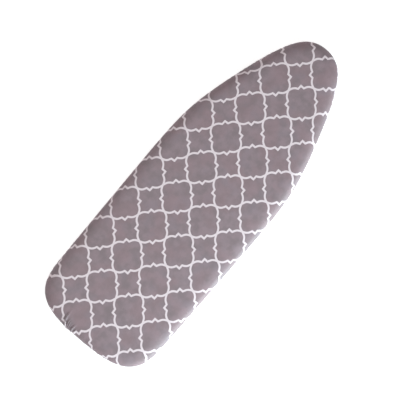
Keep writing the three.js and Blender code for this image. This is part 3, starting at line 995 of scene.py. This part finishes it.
class Shader:
    def __init__(self, name, rough=0.85, sheen=0.0, spec=0.3):
        self.mat = bpy.data.materials.new(name)
        self.mat.use_nodes = True
        self.tree = self.mat.node_tree
        self.bsdf = self.tree.nodes["Principled BSDF"]
        self.bsdf.inputs["Roughness"].default_value = rough
        self.bsdf.inputs["Specular IOR Level"].default_value = spec
        if sheen:
            self.bsdf.inputs["Sheen Weight"].default_value = sheen
            self.bsdf.inputs["Sheen Roughness"].default_value = 0.35

    def new(self, kind, **props):
        n = self.tree.nodes.new(kind)
        for k, v in props.items():
            setattr(n, k, v)
        return n

    def put(self, socket, value):
        if isinstance(value, bpy.types.NodeSocket):
            self.tree.links.new(value, socket)
        elif value is not None:
            socket.default_value = value

    def math(self, op, a, b=None, c=None, clamp=False):
        n = self.new("ShaderNodeMath", operation=op, use_clamp=clamp)
        for s, v in zip(n.inputs, (a, b, c)):
            self.put(s, v)
        return n.outputs[0]

    def uv(self, name):
        return self.new("ShaderNodeUVMap", uv_map=name).outputs["UV"]

    def place(self):
        return self.new("ShaderNodeTexCoord").outputs["Object"]

    def split(self, v):
        n = self.new("ShaderNodeSeparateXYZ")
        self.put(n.inputs[0], v)
        return n.outputs["X"], n.outputs["Y"], n.outputs["Z"]

    def join(self, x, y, z=0.0):
        n = self.new("ShaderNodeCombineXYZ")
        for s, v in zip(n.inputs, (x, y, z)):
            self.put(s, v)
        return n.outputs[0]

    def scaled(self, v, by):
        n = self.new("ShaderNodeVectorMath", operation="MULTIPLY")
        self.put(n.inputs[0], v)
        n.inputs[1].default_value = by
        return n.outputs[0]

    def noise(self, v, scale, detail=2.0, rough=0.5):
        n = self.new("ShaderNodeTexNoise")
        self.put(n.inputs["Vector"], v)
        n.inputs["Scale"].default_value = scale
        n.inputs["Detail"].default_value = detail
        n.inputs["Roughness"].default_value = rough
        return n.outputs["Fac"]

    def cells(self, v, scale, feature="F1"):
        n = self.new("ShaderNodeTexVoronoi", feature=feature)
        self.put(n.inputs["Vector"], v)
        n.inputs["Scale"].default_value = scale
        return n.outputs["Distance"]

    def curve(self, value, points, straight=()):
        n = self.new("ShaderNodeFloatCurve")
        self.put(n.inputs["Value"], value)
        c = n.mapping.curves[0]
        while len(c.points) > 2:
            c.points.remove(c.points[1])
        c.points[0].location, c.points[-1].location = points[0], points[-1]
        for p in points[1:-1]:
            c.points.new(*p)
        for p in c.points:
            p.handle_type = "VECTOR" if any(abs(p.location[0] - q) < 1e-6 for q in straight) else "AUTO"
        n.mapping.update()
        return n.outputs[0]

    def ramp(self, value, lo, hi, to_lo=0.0, to_hi=1.0, smooth=True):
        n = self.new("ShaderNodeMapRange", interpolation_type="SMOOTHSTEP" if smooth else "LINEAR")
        for s, v in zip(n.inputs, (value, lo, hi, to_lo, to_hi)):
            self.put(s, v)
        return n.outputs[0]

    def mix(self, fac, a, b, how="MIX"):
        n = self.new("ShaderNodeMix", data_type="RGBA", blend_type=how)
        self.put(n.inputs["Factor"], fac)
        self.put(n.inputs[6], a)
        self.put(n.inputs[7], b)
        return n.outputs[2]

    def bump(self, height, strength, distance=0.001):
        n = self.new("ShaderNodeBump")
        n.inputs["Strength"].default_value = strength
        n.inputs["Distance"].default_value = distance
        self.put(n.inputs["Height"], height)
        self.put(self.bsdf.inputs["Normal"], n.outputs[0])

    def colour(self, v):
        self.put(self.bsdf.inputs["Base Color"], v)

    def rough(self, v):
        self.put(self.bsdf.inputs["Roughness"], v)


def weave(s, v, pitch):
    """Height of a plain weave of threads pitch metres apart, with uneven threads."""
    x, y, _ = s.split(v)
    k = 2 * math.pi / pitch
    a = s.math("SINE", s.math("MULTIPLY", x, k))
    b = s.math("SINE", s.math("MULTIPLY", y, k))
    plain = s.math("MULTIPLY_ADD", s.math("MULTIPLY", a, b), 0.5, 0.5)
    warp = s.noise(s.scaled(v, (1 / pitch, 0.12 / pitch, 1)), 1.0, 1.0)
    weft = s.noise(s.scaled(v, (0.12 / pitch, 1 / pitch, 1)), 1.0, 1.0)
    slub = s.math("ADD", warp, weft)
    return s.math("MULTIPLY_ADD", slub, 0.55, s.math("MULTIPLY", plain, 0.45))


def trellis(s):
    """1 on the printed lines, 0 between them. Cells of a square lattice take turns: each edge
    curves out of the round cell into the star cell and has a pointed cusp at its middle."""
    u, v, _ = s.split(s.uv("print"))
    fu, fv = s.math("FRACT", u), s.math("FRACT", v)
    mu = s.math("MINIMUM", fu, s.math("SUBTRACT", 1.0, fu))
    mv = s.math("MINIMUM", fv, s.math("SUBTRACT", 1.0, fv))
    cell = s.math("ADD", s.math("FLOOR", u), s.math("FLOOR", v))
    odd = s.math("FLOORED_MODULO", cell, 2.0)
    sign = s.math("MULTIPLY_ADD", odd, -2.0, 1.0)
    line = [(0.0, 0.0), (0.04, 0.02), (0.08, 0.037), (0.12, 0.052), (0.16, 0.0625), (0.2, 0.0685), (0.24, 0.068), (0.28, 0.0625), (0.32, 0.052), (0.388, 0.032), (0.5, 0.131), (1.0, 0.131)]
    slope = [(0.0, 0.52), (0.06, 0.44), (0.12, 0.32), (0.18, 0.15), (0.22, 0.0), (0.28, -0.2), (0.33, -0.32), (0.382, -0.32), (0.394, 0.88), (0.5, 0.88), (1.0, 0.88)]
    half = lambda pts: [(x, 0.5 + 0.35 * y) for x, y in pts]
    up = lambda o: s.math("MULTIPLY", s.math("SUBTRACT", o, 0.5), 1 / 0.35)
    far = []
    for m, across in ((mu, mv), (mv, mu)):
        h = up(s.curve(m, half(line), (0.388, 0.5, 1.0)))
        g = up(s.curve(m, half(slope), (0.382, 0.394, 0.5, 1.0)))
        d = s.math("ABSOLUTE", s.math("SUBTRACT", across, s.math("MULTIPLY", sign, h)))
        far.append(s.math("DIVIDE", d, s.math("SQRT", s.math("MULTIPLY_ADD", g, g, 1.0))))
    d = s.math("SMOOTH_MIN", far[0], far[1], 0.018)
    return s.ramp(d, 0.0335, 0.0415, 1.0, 0.0)


def cloth_material():
    s = Shader("printed_cotton", 0.62, sheen=0.3, spec=0.9)
    flat = s.uv("flat")
    mottle = s.noise(flat, 32.0, 3.0, 0.55)
    cloudy = s.noise(flat, 11.0, 2.0)
    cool = s.noise(s.scaled(flat, (1.0, 1.0, 1.0)), 17.0, 2.0)
    fine = s.noise(flat, 900.0, 2.0)
    base = s.mix(s.ramp(mottle, 0.32, 0.68), lin(120, 104, 109), lin(138, 118, 125))
    base = s.mix(s.ramp(cloudy, 0.42, 0.62, 0.0, 0.42), base, lin(139, 110, 116))
    base = s.mix(s.ramp(cool, 0.5, 0.68, 0.0, 0.4), base, lin(127, 113, 122))
    base = s.mix(s.ramp(fine, 0.3, 0.75, 0.0, 0.28), base, lin(110, 93, 100))
    line = s.mix(s.ramp(fine, 0.35, 0.7), lin(211, 196, 202), lin(221, 207, 212))
    ink = trellis(s)
    s.colour(s.mix(ink, base, line))
    s.rough(s.ramp(mottle, 0.2, 0.8, 0.58, 0.66))
    s.bump(s.math("MULTIPLY_ADD", ink, 0.06, weave(s, flat, 0.00062)), 0.22, 0.0003)
    return s.mat


def reverse_material():
    s = Shader("cloth_reverse", 0.9, sheen=0.1, spec=0.2)
    flat = s.uv("flat")
    fine = s.noise(flat, 700.0, 2.0)
    base = s.mix(s.ramp(fine, 0.3, 0.7), lin(186, 180, 182), lin(200, 195, 196))
    s.colour(s.mix(s.math("MULTIPLY", trellis(s), 0.35), base, lin(225, 221, 222)))
    s.bump(weave(s, flat, 0.00062), 0.35, 0.0003)
    return s.mat


def tape_material(name, a, b, pitch, slant=1.0, sheen=0.1):
    """Twill tape: fine diagonal ribs, with painted shade darkening the grooves between them."""
    s = Shader(name, 0.85, sheen=sheen, spec=0.25)
    flat = s.uv("flat")
    x, y, _ = s.split(flat)
    t = s.math("MULTIPLY_ADD", y, slant, x)
    rib = s.math("MULTIPLY_ADD", s.math("SINE", s.math("MULTIPLY", t, 2 * math.pi / pitch)), 0.5, 0.5)
    fine = s.noise(flat, 1500.0, 2.0)
    worn = s.noise(flat, 60.0, 3.0)
    base = s.mix(s.ramp(fine, 0.3, 0.7), lin(*a), lin(*b))
    # painted shade: the grooves between the ribs are mixed towards a darker colour
    base = s.mix(s.math("MULTIPLY", s.ramp(rib, 0.0, 0.5, 1.0, 0.0), 0.35), base, lin(*[c * 0.72 for c in a]))
    s.colour(s.mix(s.ramp(worn, 0.45, 0.8, 0.0, 0.18), base, lin(*[min(255, c * 1.08) for c in b])))
    s.bump(s.math("MULTIPLY_ADD", fine, 0.3, rib), 0.55, 0.00025)
    return s.mat


def webbing_material(name, a, b):
    """Elastic webbing: cords run along y, fine weft across, with painted shade between the cords and in the weft's
    grooves.
    """
    s = Shader(name, 0.82, sheen=0.12, spec=0.28)
    flat = s.uv("flat")
    x, y, _ = s.split(flat)
    cord = s.math("MULTIPLY_ADD", s.math("COSINE", s.math("MULTIPLY", x, 2 * math.pi / 0.0020833)), 0.5, 0.5)
    weft = s.math("ABSOLUTE", s.math("SINE", s.math("MULTIPLY", y, math.pi / 0.0007)))
    side = s.math("ABSOLUTE", s.math("SINE", s.math("MULTIPLY_ADD", x, math.pi / 0.00104, s.math("MULTIPLY", y, math.pi / 0.0014))))
    fine = s.noise(flat, 1300.0, 2.0)
    base = s.mix(s.ramp(fine, 0.3, 0.7), lin(*a), lin(*b))
    # painted shade: darker between the cords, where the strap's surface dips
    base = s.mix(s.math("MULTIPLY", s.ramp(cord, 0.0, 0.45, 1.0, 0.0), 0.4), base, lin(*[c * 0.78 for c in a]))
    # painted shade: darker in the grooves between the weft threads
    s.colour(s.mix(s.math("MULTIPLY", s.ramp(weft, 0.0, 0.5, 1.0, 0.0), 0.22), base, lin(*[c * 0.82 for c in a])))
    s.bump(s.math("ADD", s.math("MULTIPLY", weft, 0.6), s.math("ADD", s.math("MULTIPLY", side, 0.3), s.math("MULTIPLY", fine, 0.3))), 0.6, 0.0002)
    return s.mat


def thread_material(name, a, b):
    s = Shader(name, 0.6, sheen=0.1, spec=0.4)
    p = s.place()
    fine = s.noise(p, 3000.0, 1.0)
    s.colour(s.mix(s.ramp(fine, 0.3, 0.7), lin(*a), lin(*b)))
    s.bump(fine, 0.4, 0.0001)
    return s.mat


def foam_material():
    s = Shader("open_cell_foam", 0.95, spec=0.15)
    p = s.place()
    pores = s.cells(p, 900.0)
    big = s.cells(p, 330.0)
    tone = s.noise(p, 14.0, 2.0)
    base = s.mix(s.ramp(tone, 0.3, 0.7), lin(233, 226, 204), lin(240, 234, 216))
    # painted shade: the colour darkens towards the middle of each pore, small and large, where the bump sinks
    base = s.mix(s.ramp(pores, 0.0, 0.5, 0.5, 0.0), base, lin(196, 184, 152))
    s.colour(s.mix(s.ramp(big, 0.0, 0.25, 0.45, 0.0), base, lin(178, 165, 132)))
    s.bump(s.math("ADD", s.ramp(pores, 0.0, 0.6), s.math("MULTIPLY", s.ramp(big, 0.0, 0.3), 0.8)), 0.8, 0.0006)
    return s.mat


def felt_material():
    s = Shader("needled_felt", 0.97, sheen=0.35, spec=0.1)
    p = s.place()
    turn = s.noise(p, 45.0, 2.0)
    warped = s.new("ShaderNodeVectorMath", operation="MULTIPLY_ADD")
    s.put(warped.inputs[0], s.join(turn, s.noise(s.scaled(p, (1.0, 1.0, 1.0)), 61.0, 2.0), 0.0))
    warped.inputs[1].default_value = (0.02, 0.02, 0.0)
    s.put(warped.inputs[2], p)
    v = warped.outputs[0]
    fibre_a = s.noise(s.scaled(v, (1.0, 0.16, 1.0)), 1300.0, 2.0)
    fibre_b = s.noise(s.scaled(v, (0.16, 1.0, 1.0)), 1150.0, 2.0)
    fibres = s.math("MAXIMUM", fibre_a, fibre_b)
    clump = s.noise(p, 120.0, 4.0, 0.6)
    needle = s.cells(s.scaled(p, (1.0, 0.8, 0.0)), 260.0)
    base = s.mix(s.ramp(clump, 0.3, 0.7), lin(208, 205, 199), lin(228, 226, 221))
    # painted highlight and shade: the fibres raised in the bump are painted lighter and the gaps between them darker
    base = s.mix(s.ramp(fibres, 0.55, 0.75, 0.0, 0.55), base, lin(243, 242, 238))
    base = s.mix(s.ramp(fibre_a, 0.2, 0.36, 0.42, 0.0), base, lin(150, 147, 143))
    # painted shade: darker in the needle holes, where the bump sinks
    s.colour(s.mix(s.ramp(needle, 0.0, 0.12, 0.4, 0.0), base, lin(165, 161, 154)))
    h = s.math("ADD", s.math("MULTIPLY", fibres, 0.8), s.math("MULTIPLY", clump, 0.9))
    h = s.math("ADD", h, s.ramp(needle, 0.0, 0.16, -0.5, 0.0))
    s.bump(h, 0.75, 0.0009)
    return s.mat


def loop_material():
    s = Shader("loop_pile", 0.92, sheen=0.3, spec=0.2)
    p = s.place()
    fine = s.noise(p, 1400.0, 3.0)
    s.colour(s.mix(s.ramp(fine, 0.3, 0.7), lin(214, 211, 206), lin(236, 234, 230)))
    s.bump(fine, 0.6, 0.0004)
    return s.mat


def hook_material():
    s = Shader("moulded_hooks", 0.42, spec=0.5)
    p = s.place()
    tone = s.noise(p, 240.0, 2.0)
    s.colour(s.mix(s.ramp(tone, 0.3, 0.7), lin(214, 212, 208), lin(226, 225, 222)))
    s.rough(s.ramp(tone, 0.3, 0.7, 0.38, 0.48))
    s.bump(s.noise(p, 1800.0, 1.0), 0.15, 0.0001)
    return s.mat


def dress(ob, *mats):
    for m in mats:
        ob.data.materials.append(m)


# ------------------------------------------------------------------ the pieces
cloth = make_face_cloth()
dress(cloth, cloth_material(), reverse_material())
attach(cloth, "cover")
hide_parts("face_cloth")

foam = make_pad("foam_layer", CLOTH_T + 0.3, FOAM_T, 0.9, 0.05, 21)
dress(foam, foam_material())
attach(foam, "cover")
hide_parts("foam_sheet")

felt = make_pad("felt_underlay", CLOTH_T + FOAM_T + 0.6, FELT_T, 1.8, 0.22, 22)
dress(felt, felt_material())
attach(felt, "cover")
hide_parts("felt_pad")

white_thread = thread_material("white_thread", (222, 219, 215), (238, 236, 232))
grey_thread = thread_material("mauve_thread", (158, 146, 152), (178, 167, 172))

outer_leg = [
    (-12.0, 0.62), (-11.9, 1.0), (-11.5, 1.27), (-10.9, 1.36), (-10.2, 1.28), (-9.7, 1.1),
    (-9.2, 1.24), (-7.5, 1.28), (-5.0, 1.25), (-2.6, 1.18), (-0.6, 1.12), (1.2, 1.28), (3.2, 1.4),
    (5.2, 1.4), (6.9, 1.28), (7.9, 0.98), (8.4, 0.52),
]
inside = [
    (-11.8, -0.5), (-8.0, -0.48), (-4.0, -0.48), (0.0, -0.5), (2.0, -0.58), (4.2, -0.6),
    (6.4, -0.56), (7.3, -0.36), (7.55, 0.0), (7.3, 0.36), (6.4, 0.56), (4.2, 0.6), (2.0, 0.58),
    (0.0, 0.5), (-4.0, 0.48), (-8.0, 0.48), (-11.8, 0.5),
]
hem_line = Hem(1440)
binding_section = outer_leg + [(8.5, 0.0)] + [(t, -o) for t, o in outer_leg[::-1]] + inside
binding = make_loop("hem_binding_tape", hem_line, binding_section)
dress(binding, tape_material("binding_twill", (134, 122, 128), (146, 134, 140), 0.0011))
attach(binding, "cover")
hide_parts("hem_binding")

elastic_ring = []
for k in range(13):
    a = 1.0 + 6.0 * k / 12
    elastic_ring.append((a, 0.40 - (0.10 if k % 2 else 0.0) - (0.12 if k in (0, 12) else 0.0)))
elastic_ring += [(t, -o) for t, o in elastic_ring[::-1]]
elastic = make_loop("hem_elastic_band", Hem(960), elastic_ring)
dress(elastic, tape_material("elastic_braid", (228, 225, 220), (240, 238, 234), 0.0009, 0.0))
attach(elastic, "cover")
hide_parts("hem_elastic")

part = Parts()
fine_hem = Hem(2880)
for side in (1, -1):
    line = fine_hem.at(-9.7, side * 1.12)
    high = fine_hem.at(-9.7, side * 2.12)
    closed = np.concatenate([line, line[:1]])
    ups = np.concatenate([high - line, (high - line)[:1]])
    part.add(*thread([(closed, ups)], 0.17, 3.2))
stitching = part.make("hem_stitching")
dress(stitching, grey_thread)
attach(stitching, "cover")

flat_ring = FLAT[HEM]
flat_area = 0.5e-6 * abs(float(np.sum(flat_ring[:, 0] * np.roll(flat_ring[:, 1], -1) - np.roll(flat_ring[:, 0], -1) * flat_ring[:, 1])))

webbing_mat = webbing_material("elastic_webbing", (226, 224, 220), (238, 236, 233))
hook_back = webbing_material("hook_backing", (218, 216, 212), (230, 228, 225))
hooks_mat = hook_material()
loop_mat = loop_material()
for name in STATIONS:
    webbing, hook, loop, swing, peel = make_strap(name)
    dress(webbing, webbing_mat, white_thread)
    dress(hook, hook_back, white_thread, hooks_mat)
    dress(loop, loop_mat, white_thread)
    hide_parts(f"{name}_strap_sewn_end", f"{name}_strap")
    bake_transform(webbing)
    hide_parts(f"{name}_hook_tape")
    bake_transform(hook)
    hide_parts(f"{name}_loop_tape")
    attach(loop, "cover")

# ------------------------------------------------------------------ stage
m = bpy.data.materials.new("floor")
m.use_nodes = True
fb = m.node_tree.nodes["Principled BSDF"]
fb.inputs["Base Color"].default_value = (0.86, 0.86, 0.86, 1)
fb.inputs["Roughness"].default_value = 0.9
fb.inputs["Emission Color"].default_value = (1, 1, 1, 1)
fb.inputs["Emission Strength"].default_value = 0.5
# the floor is one-sided, so that the underside shows from below
geo = m.node_tree.nodes.new("ShaderNodeNewGeometry")
clear = m.node_tree.nodes.new("ShaderNodeBsdfTransparent")
side = m.node_tree.nodes.new("ShaderNodeMixShader")
m.node_tree.links.new(geo.outputs["Backfacing"], side.inputs[0])
m.node_tree.links.new(fb.outputs[0], side.inputs[1])
m.node_tree.links.new(clear.outputs[0], side.inputs[2])
m.node_tree.links.new(side.outputs[0], m.node_tree.nodes["Material Output"].inputs["Surface"])
bpy.ops.mesh.primitive_plane_add(size=80)
floor = bpy.context.object
floor.name = "floor"
floor.data.materials.append(m)

cam = bpy.data.cameras.new("camera")
cam_ob = bpy.data.objects.new("camera", cam)
bpy.context.scene.collection.objects.link(cam_ob)
cam.lens = 96.3
cam.sensor_width = 36
cam_ob.location = (-0.0205, -0.0033, 3.532)
cam_ob.rotation_euler = (0, 0, math.radians(-49.70))
bpy.context.scene.camera = cam_ob
bpy.context.scene.view_settings.view_transform = "Standard"

w = bpy.data.worlds.new("studio")
bpy.context.scene.world = w
w.use_nodes = True
w.node_tree.nodes["Background"].inputs["Color"].default_value = (1, 1, 1, 1)
w.node_tree.nodes["Background"].inputs["Strength"].default_value = 0.42


def area(name, place, size, power, colour=(1, 1, 1), high=None):
    d = bpy.data.lights.new(name, "AREA")
    d.size = size
    if high:
        d.shape = "RECTANGLE"
        d.size_y = high
    d.color = colour
    d.energy = power
    o = bpy.data.objects.new(name, d)
    bpy.context.scene.collection.objects.link(o)
    o.location = place
    o.rotation_euler = (Vector((0, 0, 0)) - Vector(place)).to_track_quat("-Z", "Y").to_euler()
    return o


area("key", (-0.4, -2.27, 0.74), 3.0, 129, (0.81, 0.975, 1.0), high=0.7)
area("top", (-0.5, 1.2, 2.6), 2.2, 25, (1.0, 0.98, 0.945))
